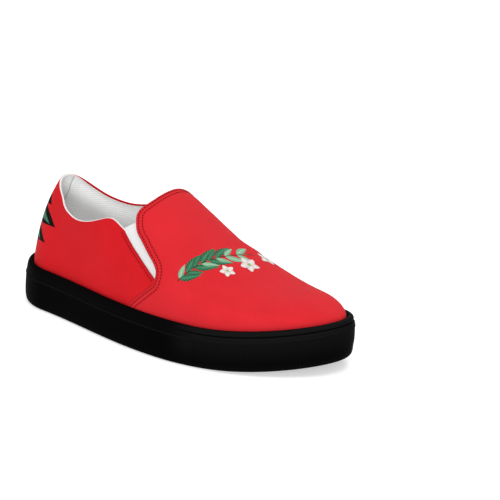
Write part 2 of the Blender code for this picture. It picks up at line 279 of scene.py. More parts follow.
def bump(t):
    """1 at zero, soft fall to nearly nothing at one."""
    return np.exp(-4.0 * np.square(t))


def unit(vectors):
    """The same directions with length one."""
    return vectors / np.maximum(np.linalg.norm(vectors, axis=-1, keepdims=True), TINY)


def mirrored(values):
    """Values from the last back to the first and out again."""
    return np.concatenate([values[::-1], values[1:]])


def turn_of(station):
    return np.arccos(1.0 - 2.0 * np.clip(station, 0.0, 1.0)) / np.pi


def station_of(turn):
    return (1.0 - np.cos(np.pi * np.abs(turn))) / 2.0


def plan(turn):
    """Widest outline: turns from -1 to 1, 0 at the heel, positive on the inner side."""
    turn = (np.asarray(turn, float) + 1.0) % 2.0 - 1.0
    station = station_of(turn)
    heel = np.clip(1.0 - station / HEEL_ROUND, 0.0, 1.0)
    toe = np.clip((station - TOE_ROUND_START) / (1.0 - TOE_ROUND_START), 0.0, 1.0)
    rounding = np.sqrt(1.0 - heel ** 2) * np.sqrt(1.0 - toe ** TOE_ROUND_POWER)
    half = 0.5 * curve(OUTLINE, station) * rounding
    return np.stack([station * LENGTH, curve(OUTLINE, station, 2) + np.sign(turn) * half], -1)


def outline(turn, inset):
    """Points on the floor at an inset from the shoe's widest outline."""
    step = 0.0005
    tangent = unit(plan(turn + step) - plan(turn - step))
    normal = np.stack([tangent[..., 1], -tangent[..., 0]], -1)
    return plan(turn) + normal * np.expand_dims(inset, -1)


def bottom_z(x):
    return TOE_SPRING * np.clip((x / LENGTH - SPRING_START) / (1.0 - SPRING_START), 0.0, None) ** 2


def rim_z(x):
    return bottom_z(x) + curve(RIM, np.clip(x / LENGTH, 0.0, 1.0))


ACROSS = plan(np.linspace(-1, 1, 721))[:, 1]
MIDDLE = np.array([LENGTH / 2, np.ptp(ACROSS) / 2 + ACROSS.min(), 0.0])


def last(turn, height):
    """Inside of the upper at a turn round the foot and a share up its wall.

    Heights over 1 run down the other side, heights under 0 straight down
    into the sole, a tenth of a metre for each whole.
    """
    turn, height = np.broadcast_arrays(np.asarray(turn, float), np.asarray(height, float))
    turn = np.where(height > 1.0, -turn, turn)
    height = np.where(height > 1.0, 2.0 - height, height)
    below = np.minimum(height, 0.0)
    height = np.maximum(height, 0.0)
    station = station_of(turn)
    inset = RIM_WIDTH + CURVED_CLEARANCE + WALL
    foot = outline(turn, np.full(turn.shape, inset))
    x, y = foot[..., 0], foot[..., 1]
    ridge_x = np.maximum(inset + station * (LENGTH - 2 * inset), CROWN_SETBACK)
    sway = CROWN_SWAY * (1.0 - smooth((ridge_x / LENGTH - SWAY_HOLD) / (SWAY_END - SWAY_HOLD)))
    ridge_y = curve(OUTLINE, ridge_x / LENGTH, 2) + sway
    base = rim_z(x) - TUCK
    ridge_base = rim_z(ridge_x) - TUCK
    top = curve(RIDGE, np.clip(ridge_x / LENGTH, RIDGE[0][0], 1.0)) - WALL
    tip = 1.0 - inset / LENGTH
    drop = np.clip((ridge_x / LENGTH - TOE_DROP_START) / (tip - TOE_DROP_START), 0.0, 1.0)
    top = ridge_base + (top - ridge_base) * np.sqrt(1.0 - drop ** TOE_DROP_POWER)
    first, second, third = 3 * (1 - height) ** 2 * height, 3 * (1 - height) * height ** 2, height ** 3
    form = [curve(WALL_FORM, np.clip(station, 0.0, WALL_FORM[-1][0]), k) for k in (1, 2, 3, 4)]
    inward = first * form[0] + second * form[1] + third
    upward = first * form[2] + second * form[3] + third
    points = np.stack([
        x + (ridge_x - x) * inward,
        y + (ridge_y - y) * inward,
        base + (top - base) * upward + DEPTH_BELOW * below,
    ], -1)
    return points - MIDDLE


def last_frame(turn, height):
    """Point, change with turn, change with height and outward normal."""
    step = 0.0015
    turn, height = np.broadcast_arrays(np.asarray(turn, float), np.asarray(height, float))
    point = last(turn, height)
    by_turn = (last(turn + step, height) - last(turn - step, height)) / (2 * step)
    by_height = (last(turn, height + step) - last(turn, height - step)) / (2 * step)
    return point, by_turn, by_height, unit(np.cross(by_height, by_turn))


def moved(turn, height, shift):
    """Turn and height after a small shift in space along the surface."""
    _, by_turn, by_height, _ = last_frame(turn, height)
    tt = (by_turn * by_turn).sum(-1)
    hh = (by_height * by_height).sum(-1)
    th = (by_turn * by_height).sum(-1)
    ts = (by_turn * shift).sum(-1)
    hs = (by_height * shift).sum(-1)
    area = tt * hh - th * th
    return turn + (ts * hh - hs * th) / area, height + (hs * tt - ts * th) / area


def vamp_edge(height):
    """Station of the vamp's rear edge at a share of the way up the wall."""
    t = shares(200)
    front_station, front_height = along(GORE_FRONT, t)
    order = np.argsort(front_height)
    front = np.interp(height, front_height[order], front_station[order])
    foot = curve(VAMP_FOOT, np.clip(height, 0.0, TIP_HEIGHT))
    rear = curve(VAMP_REAR, np.clip(height, GORE_FRONT[0][1], 1.0))
    return np.where(height < TIP_HEIGHT, foot, np.where(height < GORE_FRONT[0][1], front, rear))


def vamp_lift(turn, height):
    """Thickness from the foot to the outside of the vamp's canvas."""
    station = station_of(turn)
    height = np.where(height > 1.0, 2.0 - height, height)
    ahead = station - np.maximum(vamp_edge(np.clip(height, 0.0, 1.0)), TIP_STATION - 0.05)
    return WALL + HEM * (1.0 - smooth((ahead - 0.02) / 0.09)) + vamp_relief(turn, height)


def relief(table, station, height):
    """Sum of the soft rises and hollows of a table."""
    total = 0.0
    for rise, middle, reach, level, tall, slant in table:
        ahead = station - middle + slant * height
        total = total + rise * bump(ahead / reach) * bump((height - level) / tall)
    return total


def vamp_relief(turn, height):
    """Rises and hollows of the vamp where the foot bends it."""
    station = station_of(turn)
    creases = relief(VAMP_RELIEF, station, height) * (1.0 + VAMP_SIDE_SHARE * np.sign(turn))
    return creases + relief(TOE_RELIEF, station, height)


def quarter_lift(turn, height):
    """Thickness from the foot to the outside of the quarters' canvas."""
    return WALL + relief(QUARTER_RELIEF, station_of(turn), height)


def quads(index):
    """Faces between neighbouring rows and columns of a grid of indices."""
    return np.stack([index[:-1, :-1], index[:-1, 1:], index[1:, 1:], index[1:, :-1]], -1).reshape(-1, 4)


def closed(index):
    """Grid of indices with its first column again at the end."""
    return np.column_stack([index, index[:, :1]])


def joined(parts):
    """Points, faces and further columns of many small meshes as one."""
    starts = np.cumsum([0] + [len(part[0]) for part in parts])
    faces = [[int(v) + start for v in face] for part, start in zip(parts, starts) for face in part[1]]
    return np.concatenate([part[0] for part in parts]), faces, np.concatenate([part[2] for part in parts])


def make_piece(name, points, faces, uv, material, slot, replaced=(), **values):
    """One mesh with flat-sheet coordinates in metres, riding on the shoe."""
    mesh = bpy.data.meshes.new(name)
    mesh.from_pydata(np.asarray(points, float).tolist(), [], [list(map(int, f)) for f in faces])
    mesh.validate()
    layer = mesh.uv_layers.new(name="sheet")
    loops = np.zeros(len(mesh.loops), np.int32)
    mesh.loops.foreach_get("vertex_index", loops)
    layer.data.foreach_set("uv", np.asarray(uv, np.float32)[loops].ravel())
    for key, value in values.items():
        store = mesh.attributes.new(key, "FLOAT", "POINT")
        store.data.foreach_set("value", np.asarray(value, np.float32))
    mesh.shade_smooth()
    mesh.materials.append(material)
    item = show(name, mesh)
    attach(item, "root")
    if replaced:
        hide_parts(*replaced)
    return item


def sheet_piece(name, points, low, high, uv, material, slot, node, **values):
    """Closed sheet over a grid of points that takes the place of one node."""
    solid, faces, source = shell(points, low, high)
    values = {key: value[source] for key, value in values.items()}
    make_piece(name, solid, faces, uv[source], material, slot, (node,), **values)


def rim_loop(index):
    """Indices round the border of a grid, anticlockwise from the outside."""
    return np.concatenate([index[0, :-1], index[:-1, -1], index[-1, :0:-1], index[:0:-1, 0]])


def shell(points, low, high, segments=4):
    """Closed sheet over a grid of points, from low to high along its normals.

    Its border is a half round. Gives points, faces and each point's source.
    """
    flat = points.reshape(-1, 3)
    normal = unit(np.cross(np.gradient(points, axis=1), np.gradient(points, axis=0))).reshape(-1, 3)
    low = np.broadcast_to(low, points.shape[:2]).reshape(-1, 1)
    high = np.broadcast_to(high, points.shape[:2]).reshape(-1, 1)
    count = len(flat)
    index = np.arange(count).reshape(points.shape[:2])
    loop = rim_loop(index)
    chord = flat[np.roll(loop, -1)] - flat[np.roll(loop, 1)]
    outward = unit(np.cross(chord, normal[loop]))
    middle = flat[loop] + normal[loop] * (low + high)[loop] / 2
    half = (high - low)[loop] / 2
    parts = [flat + normal * high, flat + normal * low]
    sources = [np.arange(count), np.arange(count)]
    rings = [loop]
    for k in range(1, segments):
        angle = np.pi * k / segments
        parts.append(middle + normal[loop] * half * np.cos(angle) + outward * half * np.sin(angle))
        sources.append(loop)
        rings.append(2 * count + (k - 1) * len(loop) + np.arange(len(loop)))
    rings.append(loop + count)
    faces = [quads(index), quads(index)[:, ::-1] + count]
    for here, there in zip(rings, rings[1:]):
        faces.append(np.stack([here, there, np.roll(there, -1), np.roll(here, -1)], -1))
    return np.concatenate(parts), np.concatenate(faces), np.concatenate(sources)


def lengths(points, axis):
    """Running length along one way of a grid."""
    step = np.linalg.norm(np.diff(points, axis=axis), axis=-1)
    zero = np.zeros_like(np.take(step, [0], axis=axis))
    return np.cumsum(np.concatenate([zero, step], axis=axis), axis=axis)


def distance_to(points, path):
    """Least distance from each point to a line of points."""
    result = np.full(len(points), 1.0)
    for start in range(0, len(points), 4000):
        block = points[start:start + 4000]
        gap = np.linalg.norm(block[:, None] - path[None], axis=-1)
        result[start:start + 4000] = gap.min(1)
    return result


# Materials


def new_material(name):
    material = bpy.data.materials.new(name)
    material.use_nodes = True
    return material, material.node_tree


def set_inputs(tree, node, inputs):
    """Links or sets inputs of a node. A tuple is a colour."""
    for key, value in inputs.items():
        if isinstance(value, bpy.types.NodeSocket):
            tree.links.new(value, node.inputs[key])
        else:
            node.inputs[key].default_value = (*value, 1.0) if isinstance(value, tuple) else value


def finish(material, inputs):
    tree = material.node_tree
    set_inputs(tree, tree.nodes["Principled BSDF"], inputs)
    return material


def add_node(tree, kind, inputs, output=0, **settings):
    """Output of a new node with its inputs linked or set."""
    made = tree.nodes.new(kind)
    for key, value in settings.items():
        setattr(made, key, value)
    set_inputs(tree, made, inputs)
    return made.outputs[output]


def math(tree, operation, first, second=0.0, third=0.0):
    return add_node(tree, "ShaderNodeMath", {0: first, 1: second, 2: third}, operation=operation)


def attribute(tree, name):
    """Value that the mesh carries under a name."""
    return add_node(tree, "ShaderNodeAttribute", {}, "Fac", attribute_name=name)


def noise(tree, scale, detail):
    where = add_node(tree, "ShaderNodeTexCoord", {}, "Object")
    return add_node(tree, "ShaderNodeTexNoise", {"Vector": where, "Scale": scale, "Detail": detail}, "Fac")


def ramp(tree, value, low, high):
    """0 to 1 as the value goes from low to high, clipped."""
    limits = {"Value": value, "From Min": low, "From Max": high}
    return add_node(tree, "ShaderNodeMapRange", limits, "Result", interpolation_type="SMOOTHSTEP")


def mix_color(tree, factor, first, second):
    return add_node(tree, "ShaderNodeMix", {"Factor": factor, 6: first, 7: second}, 2, data_type="RGBA")


def tinted(tree, base, factor, share, color):
    """Base drawn towards a colour by a share of a factor."""
    return mix_color(tree, math(tree, "MULTIPLY", factor, share), base, color)


def sheet_axes(tree):
    """Flat-sheet coordinates of the cloth, in metres."""
    uv = add_node(tree, "ShaderNodeUVMap", {}, uv_map="sheet")
    return [add_node(tree, "ShaderNodeSeparateXYZ", {0: uv}, axis) for axis in (0, 1)]


def wave(tree, value, pitch):
    """Sine that passes zero once each pitch."""
    return math(tree, "SINE", math(tree, "MULTIPLY", value, np.pi / pitch))


def weave(tree, pitch):
    """Height of a plain weave: a rounded bump for every crossing."""
    u, v = sheet_axes(tree)
    return math(tree, "ABSOLUTE", math(tree, "MULTIPLY", wave(tree, u, pitch), wave(tree, v, pitch)))


def stripe(tree, distance, middle, width):
    """1 on a line at a distance from an edge, 0 away from it."""
    off = math(tree, "ABSOLUTE", math(tree, "SUBTRACT", distance, middle))
    return ramp(tree, off, width, 0.0)


def raised(tree, height, distance, strength, under=None):
    """Surface direction over a relief, on top of another one where given."""
    inputs = {"Height": height, "Distance": distance, "Strength": strength}
    if under is not None:
        inputs["Normal"] = under
    return add_node(tree, "ShaderNodeBump", inputs)


def finish_cloth(material, base, relief, gloss, tint=WHITE):
    """Colour, relief and soft gloss: roughness, specular and sheen."""
    roughness, specular, sheen = gloss
    return finish(material, {
        "Base Color": base, "Normal": raised(material.node_tree, *relief), "Roughness": roughness,
        "Specular IOR Level": specular, "Sheen Weight": sheen, "Sheen Roughness": 0.45, "Sheen Tint": tint,
    })


def canvas_base(tree, color, dark):
    """Printed canvas: colour with a slight cloudiness, and height of its threads."""
    threads = weave(tree, CANVAS_PITCH)
    slub = noise(tree, 1400.0, 1.0)
    cloud = noise(tree, 38.0, 3.0)
    grain = math(tree, "MULTIPLY_ADD", slub, 0.6, math(tree, "MULTIPLY", threads, 0.55))
    shade = math(tree, "MULTIPLY_ADD", cloud, 0.5, math(tree, "MULTIPLY", grain, 0.42))
    return mix_color(tree, ramp(tree, shade, 0.25, 0.85), dark, color), grain


def make_canvas(name, color, dark):
    """Red canvas with painted shade on its folded edge and along its seams, which are also drawn in by
    relief.
    """
    material, tree = new_material(name)
    base, grain = canvas_base(tree, color, dark)
    edge = attribute(tree, "edge")
    seams = math(tree, "MAXIMUM", *[stripe(tree, edge, row, FOLD) for row in VAMP_ROWS])
    # Painted shade: darker along the stitch rows and on the folded edge
    base = tinted(tree, base, seams, 0.08, SEAM_SHADE_RED)
    base = tinted(tree, base, ramp(tree, edge, FOLD, 0.0), 0.55, FOLD_SHADE_RED)
    low = raised(tree, math(tree, "SUBTRACT", 1.0, seams), 0.0004, 0.8)
    return finish_cloth(material, base, (grain, *CANVAS_RELIEF, low), (0.75, 0.05, 0.02), (1.0, 0.6, 0.6))


def make_print(name, light, dark, vein):
    """Ink on the same canvas, brushed from a dark edge to a light rib."""
    material, tree = new_material(name)
    _, grain = canvas_base(tree, light, dark)
    wide = math(tree, "ABSOLUTE", attribute(tree, "across"))
    out = math(tree, "MULTIPLY", attribute(tree, "out"), 46.0)
    slanted = math(tree, "SUBTRACT", out, math(tree, "MULTIPLY", wide, 9.0))
    base = mix_color(tree, ramp(tree, wide, 0.15, 1.0), light, dark)
    base = tinted(tree, base, ramp(tree, math(tree, "SINE", slanted), -0.4, 0.9), 0.5, vein)
    base = tinted(tree, base, ramp(tree, wide, 0.14, 0.04), 0.7, vein)
    base = tinted(tree, base, grain, 0.22, dark)
    return finish_cloth(material, base, (grain, *CANVAS_RELIEF), (0.85, 0.12, 0.05))


def make_ink():
    material, tree = new_material("print_black")
    base, grain = canvas_base(tree, *INK_BLACK)
    return finish_cloth(material, base, (grain, *CANVAS_RELIEF), (0.8, 0.05, 0.0))


def make_thread():
    material, tree = new_material("thread_red")
    twist = noise(tree, 2600.0, 1.0)
    # Thread darkened below the canvas red as painted shade of its stitch holes
    base = mix_color(tree, ramp(tree, twist, 0.3, 0.7), *THREAD_RED_SHADED)
    return finish_cloth(material, base, (twist, 0.0001, 0.6), (0.7, 0.04, 0.0), (1.0, 0.7, 0.7))


def make_lining():
    """Soft pale spacer mesh with rows of small dimples and a seam at the heel."""
    material, tree = new_material("lining_mesh")
    pores = ramp(tree, weave(tree, LINING_PITCH), 0.55, 0.95)
    fuzz = noise(tree, 900.0, 2.0)
    base = tinted(tree, (0.87, 0.87, 0.865), pores, 0.45, (0.43, 0.43, 0.43))
    base = tinted(tree, base, fuzz, 0.04, (0.6, 0.6, 0.6))
    base = tinted(tree, base, ramp(tree, attribute(tree, "seam"), 0.0010, 0.0001), 0.5, (0.25, 0.25, 0.25))
    low = raised(tree, math(tree, "SUBTRACT", 1.0, pores), 0.0003, 0.7)
    return finish_cloth(material, base, (fuzz, 0.0002, 0.4, low), (0.95, 0.1, 0.25))


def make_binding():
    material, tree = new_material("collar_binding")
    u, _ = sheet_axes(tree)
    fuzz = noise(tree, 1200.0, 1.0)
    base = mix_color(tree, fuzz, (0.58, 0.545, 0.54), (0.66, 0.63, 0.625))
    height = math(tree, "MULTIPLY_ADD", wave(tree, u, BINDING_PITCH / 2), 0.4, fuzz)
    return finish_cloth(material, base, (height, 0.00015, 0.5), (0.85, 0.15, 0.25))


def make_elastic():
    """White webbing with ribs along its length."""
    material, tree = new_material("elastic_webbing")
    u, v = sheet_axes(tree)
    ribs = math(tree, "ABSOLUTE", wave(tree, u, WEBBING_RIB))
    height = math(tree, "MULTIPLY_ADD", wave(tree, v, WEBBING_CROSS / 2), 0.2, ribs)
    base = mix_color(tree, ramp(tree, height, -0.1, 0.6), (0.47, 0.47, 0.47), (0.61, 0.61, 0.61))
    base = tinted(tree, base, noise(tree, 1500.0, 1.0), 0.1, (0.5, 0.5, 0.5))
    return finish_cloth(material, base, (height, 0.00022, 0.6), (0.8, 0.2, 0.2))


def make_insole():
    material, tree = new_material("insole_textile")
    threads = weave(tree, FOOTBED_PITCH)
    base = mix_color(tree, ramp(tree, threads, 0.1, 0.8), (0.50, 0.50, 0.495), (0.64, 0.64, 0.63))
    base = tinted(tree, base, noise(tree, 22.0, 2.0), 0.15, (0.55, 0.54, 0.52))
    height = math(tree, "MULTIPLY_ADD", noise(tree, 700.0, 2.0), 0.5, threads)
    return finish_cloth(material, base, (height, 0.00025, 0.6), (0.95, 0.1, 0.2))


def make_rubber():
    """Black rubber, finely cross-hatched round the toe, with painted light: paler on the heel rib and the
    toe's upper side, darker in the toe's grooves.
    """
    material, tree = new_material("rubber_black")
    u, v = sheet_axes(tree)
    ways = [wave(tree, math(tree, way, u, v), HATCH_PITCH / 2) for way in ("ADD", "SUBTRACT")]
    lattice = ramp(tree, math(tree, "MAXIMUM", *ways), 0.2, 0.95)
    hatch = math(tree, "MULTIPLY", lattice, attribute(tree, "hatch"))
    grain = noise(tree, 1700.0, 2.0)
    base = mix_color(tree, noise(tree, 30.0, 2.0), (0.0009, 0.0008, 0.0010), (0.0013, 0.0012, 0.0014))
    # Painted highlight: the rubber is paled where light falls on the rib and on the toe's upper side
    base = mix_color(tree, attribute(tree, "worn"), base, (0.0070, 0.0070, 0.0068))
    base = tinted(tree, base, hatch, 0.6, (0.0008, 0.0008, 0.0009))
    rough = add_node(tree, "ShaderNodeMapRange", {"Value": grain, "To Min": 0.48, "To Max": 0.66}, "Result")
    direction = raised(tree, grain, 0.00012, 0.35, raised(tree, hatch, 0.0004, 0.8))
    return finish(material, {
        "Base Color": base, "Roughness": rough, "Normal": direction, "Specular IOR Level": 0.006,
    })


def make_floor_material():
    material, tree = new_material("floor_pale")
    return finish(material, {
        "Base Color": mix_color(tree, noise(tree, 3.0, 2.0), *FLOOR_GREYS), "Roughness": 0.9,
        "Specular IOR Level": 0.1, "Emission Color": WHITE, "Emission Strength": FLOOR_GLOW,
    })


# Upper


def both_sides(stations):
    """Turns from the front of the inner side round the heel to the outer front."""
    turns = turn_of(stations)
    return np.concatenate([turns[..., ::-1], -turns[..., 1:]], axis=-1)


def quarter_grid(tuck, lowest, raised_by=None, rows=56):
    """Turns and heights over both quarters, heel in the middle.

    A lining's top is raised by one share at the collar's inner side and
    another at its outer side, and lies lower than the canvas at the gores.
    """
    heel = station_of(np.linspace(0.0, turn_of(COLLAR[-1][0]), 96))
    gore, gore_top = along(GORE_REAR, shares(44))
    under = TIP_STATION + shares(5)[1:] * tuck if tuck else np.zeros(0)
    stations = np.concatenate([heel, gore[1:], under])
    tops = np.concatenate([curve(COLLAR, heel), gore_top[1:], np.full(len(under), TIP_HEIGHT)])
    share = shares(rows)[:, None]
    shift = curve(VAMP_FOOT, share * TIP_HEIGHT) - TIP_STATION
    slant = 0.5 + 0.5 * np.cos(np.pi * np.clip((stations - TIP_STATION) / 0.32, -1.0, 0.0))
    turn = both_sides(stations[None, :] + shift * slant[None, :])
    top = mirrored(tops)
    if raised_by:
        at_collar = mirrored(1.0 - smooth((stations - COLLAR[-1][0] + 0.017) / 0.03))
        over = raised_by[0] + (raised_by[1] - raised_by[0]) * outer_share(turn[-1])
        top = top + over * at_collar - 0.006 * (1.0 - at_collar)
    return turn, lowest + (top[None, :] - lowest) * share


def outer_share(turn):
    """1 on the outer side, 0 on the inner side, changing softly at the heel."""
    return smooth((0.17 - turn) / 0.17)


def girth_uv(points):
    across = lengths(points, 1)
    middle = points.shape[1] // 2
    return np.stack([across - across[:, [middle]], lengths(points, 0)], -1).reshape(-1, 2)


def vamp_edge_path(count):
    """Turns and heights along the vamp's edge, outer foot to inner foot."""
    half = shares(count // 2)
    height = np.concatenate([half, half[-2::-1]])
    side = np.concatenate([np.full(len(half), OUTER), np.full(len(half) - 1, INNER)])
    return side * turn_of(vamp_edge(height)), height


def build_quarters(material):
    """Canvas of both quarters in one piece, tucked under the vamp and into the sole."""
    turn, height = quarter_grid(0.028, 0.0)
    points = last(turn, height)
    ahead = station_of(turn) - vamp_edge(np.clip(height, 0.0, TIP_HEIGHT))
    dip = CANVAS_DIP * smooth((ahead - 0.004) / 0.02) * (height < TIP_HEIGHT + 0.01)
    rear = along(GORE_REAR, shares(160))
    paths = [last(side * turn_of(rear[0]), rear[1]) for side in (OUTER, INNER)]
    edge = distance_to(points.reshape(-1, 3), np.concatenate(paths))
    edge = np.where(edge < 0.0034, edge, 0.01)
    high = quarter_lift(turn, height) - dip
    sheet_piece("quarters", points, CANVAS_INNER - dip, high, girth_uv(points), material, "canvas", "upper",
                edge=edge)


def vamp_grid(start, lowest, rows=70, columns=120):
    """Turns and heights over the vamp, outer foot over the ridge to inner foot."""
    key = np.sort(np.concatenate([shares(rows), [TIP_HEIGHT, GORE_FRONT[0][1]]]))
    rising = lowest + (1.0 - lowest) * key
    height = np.concatenate([rising, rising[-2::-1]])
    side = np.concatenate([np.full(len(key), OUTER), np.full(len(key) - 1, INNER)])
    share = shares(columns)
    share = 0.35 * share ** 2 + 0.65 * share
    first = turn_of(vamp_edge(np.clip(height, 0.0, 1.0)) + start)[:, None]
    turn = first + (0.9985 - first) * share[None, :]
    return turn * side[:, None], np.broadcast_to(height[:, None], turn.shape)


def vamp_uv(points):
    upward = lengths(points, 0)
    middle = points.shape[0] // 2
    across = lengths(points, 1) + points[:, :1, 0]
    return np.stack([across, upward - upward[[middle]]], -1).reshape(-1, 2)


def build_vamp(material):
    """Canvas over the toe and instep, with its folded rear edge."""
    turn, height = vamp_grid(0.0, 0.0)
    points = last(turn, height)
    high = vamp_lift(turn, height)
    low = high - (WALL - CANVAS_INNER)
    edge = distance_to(points.reshape(-1, 3), last(*vamp_edge_path(700)))
    sheet_piece("vamp", points, low, high, vamp_uv(points), material, "canvas", "upper", edge=edge)


def build_linings(material):
    """Padded lining of the quarters with its seam at the heel, and the vamp's lining."""
    turn, height = quarter_grid(0.0, LINING_FOOT, (-0.010, 0.004), rows=64)
    points = last(turn, height)
    station = station_of(turn)
    down = (height[-1:] - height) * DEPTH_BELOW
    plush = 0.0022 * (1.0 - smooth((station - 0.10) / 0.34)) + 0.0006
    pad = plush * np.exp(-np.square((down - 0.014) / 0.011)) * (1.0 - bump(down / 0.009)) * (station < 0.6)
    uv = girth_uv(points)
    from_seam = uv[:, 0] + 0.0066
    low = np.minimum(0.0007 * bump(from_seam.reshape(turn.shape) / 0.0014) - pad, 0.0002)
    sheet_piece("lining_quarters", points, low, LINING_OUTER, uv, material, "insole_textile", "upper",
                seam=np.abs(from_seam))
    points = last(*vamp_grid(0.036, LINING_FOOT, rows=40, columns=60))
    uv = vamp_uv(points)
    sheet_piece("lining_vamp", points, *VAMP_LINING_LAYER, uv, material, "insole_textile", "upper",
                seam=np.ones(len(uv)))


def tube(path, normal, wide, high, around=10):
    """Closed tube with an oval section along a line of points."""
    forward = unit(np.gradient(path, axis=0))
    sideways = unit(np.cross(forward, normal))
    upright = np.cross(sideways, forward)
    angle = np.linspace(0.0, 2 * np.pi, around, endpoint=False)
    rise, side = np.cos(angle)[None, :, None], np.sin(angle)[None, :, None]
    ring = path[:, None] + upright[:, None] * rise * np.reshape(high, (-1, 1, 1))
    ring = ring + sideways[:, None] * side * np.reshape(wide, (-1, 1, 1))
    count = len(path)
    index = np.arange(count * around).reshape(count, around)
    faces = quads(closed(index).T).tolist()
    for k in range(around):
        after = (k + 1) % around
        faces.append([index[0, after], count * around, index[0, k]])
        faces.append([index[-1, k], count * around + 1, index[-1, after]])
    run = lengths(path, 0)
    uv = np.stack([np.repeat(run, around), np.tile(angle / (2 * np.pi) * 0.005, count)], -1)
    points = np.concatenate([ring.reshape(-1, 3), path[:1], path[-1:]])
    return points, faces, np.concatenate([uv, [[0.0, 0.0], [run[-1], 0.0]]])


def build_binding(material):
    """Thin roll of white tape along the collar, ending at both gores."""
    collar = station_of(np.linspace(0.0, turn_of(COLLAR[-1][0]), 120))
    gore, gore_height = along(GORE_REAR, np.linspace(0.0, 0.25, 10))
    turn = both_sides(np.concatenate([collar, gore[1:]]))
    outer = outer_share(turn)
    height = mirrored(np.concatenate([curve(COLLAR, collar), gore_height[1:]])) - 0.0105 + 0.014 * outer
    point, _, _, normal = last_frame(turn, height)
    fade = 1.0 - smooth((station_of(turn) - 0.448) / 0.02)
    path = point + normal * (0.0001 + 0.0008 * outer)[:, None]
    size = (0.35 + 0.65 * fade) * (0.45 + 0.55 * outer)
    points, faces, uv = tube(path, normal, 0.0007 * size, 0.0008 * size)
    make_piece("collar_binding", points, faces, uv, material, "insole_textile", ("upper",))


def build_gore(name, side, material):
    """Elastic panel with both edges tucked between canvas and lining."""
    t = shares(60)
    rear_station, rear_height = along(GORE_REAR, t)
    front_station, front_height = along(GORE_FRONT, t)
    front_height = front_height + 0.05 * (1.0 - t) ** 4
    share = shares(25)[:, None]
    station = (rear_station - 0.012) * (1 - share) + (front_station + 0.014) * share
    height = rear_height * (1 - share) + front_height * share
    turn = side * turn_of(station)
    points = last(turn[::-side, ::-1].T, height[::-side, ::-1].T)
    uv = np.stack([lengths(points, 1), lengths(points, 0)], -1).reshape(-1, 2)
    sheet_piece("elastic_" + name, points, *GORE_LAYER, uv, material, "elastic", "gore_" + name)


def softened(points, width):
    """Line of points as a running mean over a number of them to each side."""
    kernel = np.exp(-np.square(np.linspace(-2.0, 2.0, 2 * width + 1)))
    kernel /= kernel.sum()
    before = 2 * points[:1] - points[width:0:-1]
    after = 2 * points[-1:] - points[-2:-width - 2:-1]
    padded = np.concatenate([before, points, after])
    return np.stack([np.convolve(padded[:, k], kernel, "valid") for k in range(3)], -1)


def even_path(turn, height, lift):
    """Points and normals at even steps along a line on the upper, corners rounded."""
    point, _, _, normal = last_frame(turn, height)
    point = point + normal * np.reshape(lift, (-1, 1))
    run = lengths(point, 0)
    at = np.arange(0.0, run[-1], ROW_STEP)
    points = np.stack([np.interp(at, run, point[:, k]) for k in range(3)], -1)
    normals = np.stack([np.interp(at, run, normal[:, k]) for k in range(3)], -1)
    return softened(points, int(ROW_ROUNDING / ROW_STEP)), unit(normals)


def offset_line(turn, height, distance):
    """Turns and heights of a line on the upper moved sideways along the surface."""
    point, _, _, normal = last_frame(turn, height)
    sideways = np.cross(unit(np.gradient(point, axis=0)), normal)
    return moved(turn, height, sideways * np.reshape(distance, (-1, 1)))


def stitch_row(points, normals):
    """Short arched threads along a line of points."""
    per = int(round(STITCH / ROW_STEP))
    rise = np.array(STITCH_RISE)[:, None]
    threads = []
    for start in np.arange(0, len(points) - per - 1, (STITCH + STITCH_GAP) / ROW_STEP).astype(int):
        pick = np.linspace(start, start + per, len(rise)).astype(int)
        threads.append(tube(points[pick] + normals[pick] * rise, normals[pick], *THREAD, around=6))
    return threads


def build_stitches(material):
    """Two rows along the vamp's edge and one behind each gore."""
    turn, height = vamp_edge_path(1400)
    middle = len(turn) // 2
    lines = []
    for distance in VAMP_ROWS:
        for part in (slice(6, middle + 1), slice(middle, len(turn) - 6)):
            nearer = distance * (1.0 - 0.2 * smooth((height[part] - 0.6) / 0.3))
            line = offset_line(turn[part], height[part], nearer)
            lines.append((*line, vamp_lift(*line)))
    station, rise = along(GORE_REAR, np.linspace(0.0, 0.97, 300))
    for side in (OUTER, INNER):
        line = offset_line(side * turn_of(station), rise, -side * QUARTER_ROW)
        lines.append((*line, quarter_lift(*line)))
    threads = []
    for line in lines:
        threads += stitch_row(*even_path(*line))
    make_piece("stitches", *joined(threads), material, "canvas")


# Sole


def ladder(loop, flip):
    """Quads that close a loop of points that starts at the heel."""
    faces = []
    for i in range(len(loop) // 2):
        rung = list(dict.fromkeys(int(loop[k]) for k in (i, i + 1, -i - 1, -i)))
        faces.append(rung[::-1] if flip else rung)
    return faces


